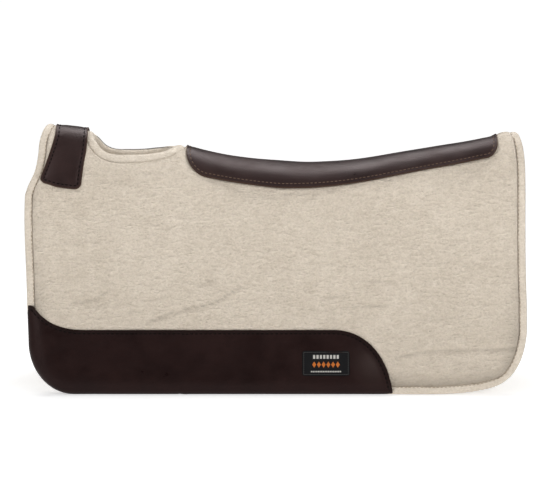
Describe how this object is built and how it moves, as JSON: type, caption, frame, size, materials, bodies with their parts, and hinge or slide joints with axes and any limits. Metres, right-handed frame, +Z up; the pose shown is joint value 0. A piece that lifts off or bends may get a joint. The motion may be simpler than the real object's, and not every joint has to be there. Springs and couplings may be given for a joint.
{
  "type": "saddle pad",
  "caption": "Contoured western saddle pad of layered felt with a raised spine, an open wither relief, leather facings and stitched bindings, made to sit between a horse's back and a saddle.",
  "frame": {"origin": "on the surface the pad stands on, midway between its two bottom edges and midway along its length", "axes": "+Z up; +X from the withers (front) to the rear along the horse's back; -Y is the horse's left side, +Y its right side"},
  "size_m": [0.8158, 0.2856, 0.43],
  "materials": {
    "felt": "cream wool felt with fine fibres",
    "lining": "coarser cream wool felt on the horse's side",
    "core": "pressed fibre core",
    "leather": "dark brown oiled leather, soft sheen",
    "thread": "brown bonded thread",
    "seam_tape": "cream woven tape",
    "label": "black woven label",
    "label_thread": "black thread"
  },
  "bodies": {
    "crown": {"front_crest_binding": "felt", "rear_crest_binding": "felt", "front_crest_thread": "thread", "rear_crest_thread": "thread", "opening_binding": "felt", "opening_thread": "thread", "wither_strap": "leather", "wither_strap_thread": "thread", "spine_leather": "leather", "spine_leather_thread": "thread", "spine_seam_tape": "seam_tape", "wither_seam_tape": "seam_tape", "left_crown_top_felt": "felt", "left_crown_core": "core", "left_crown_lining": "lining", "right_crown_top_felt": "felt", "right_crown_core": "core", "right_crown_lining": "lining"},
    "left_flap": {"left_top_felt": "felt", "left_core": "core", "left_lining": "lining", "left_front_binding": "felt", "left_rear_binding": "felt", "left_front_thread": "thread", "left_rear_thread": "thread", "left_wear_leather": "leather", "left_wear_leather_thread": "thread", "left_label": "label", "left_label_thread": "label_thread"},
    "right_flap": {"right_top_felt": "felt", "right_core": "core", "right_lining": "lining", "right_front_binding": "felt", "right_rear_binding": "felt", "right_front_thread": "thread", "right_rear_thread": "thread", "right_wear_leather": "leather", "right_wear_leather_thread": "thread", "right_label": "label", "right_label_thread": "label_thread"}
  },
  "joints": [
    {"name": "left_flap_fold", "type": "hinge", "parent": "crown", "child": "left_flap", "pos_m": [0, -0.053, 0.316], "axis": [-1, 0, 0], "range_deg": [-10, 25], "stiffness_Nm_per_rad": 30, "springref_deg": -1.15},
    {"name": "right_flap_fold", "type": "hinge", "parent": "crown", "child": "right_flap", "pos_m": [0, 0.053, 0.316], "axis": [1, 0, 0], "range_deg": [-10, 25], "stiffness_Nm_per_rad": 30, "springref_deg": -1.15}
  ]
}
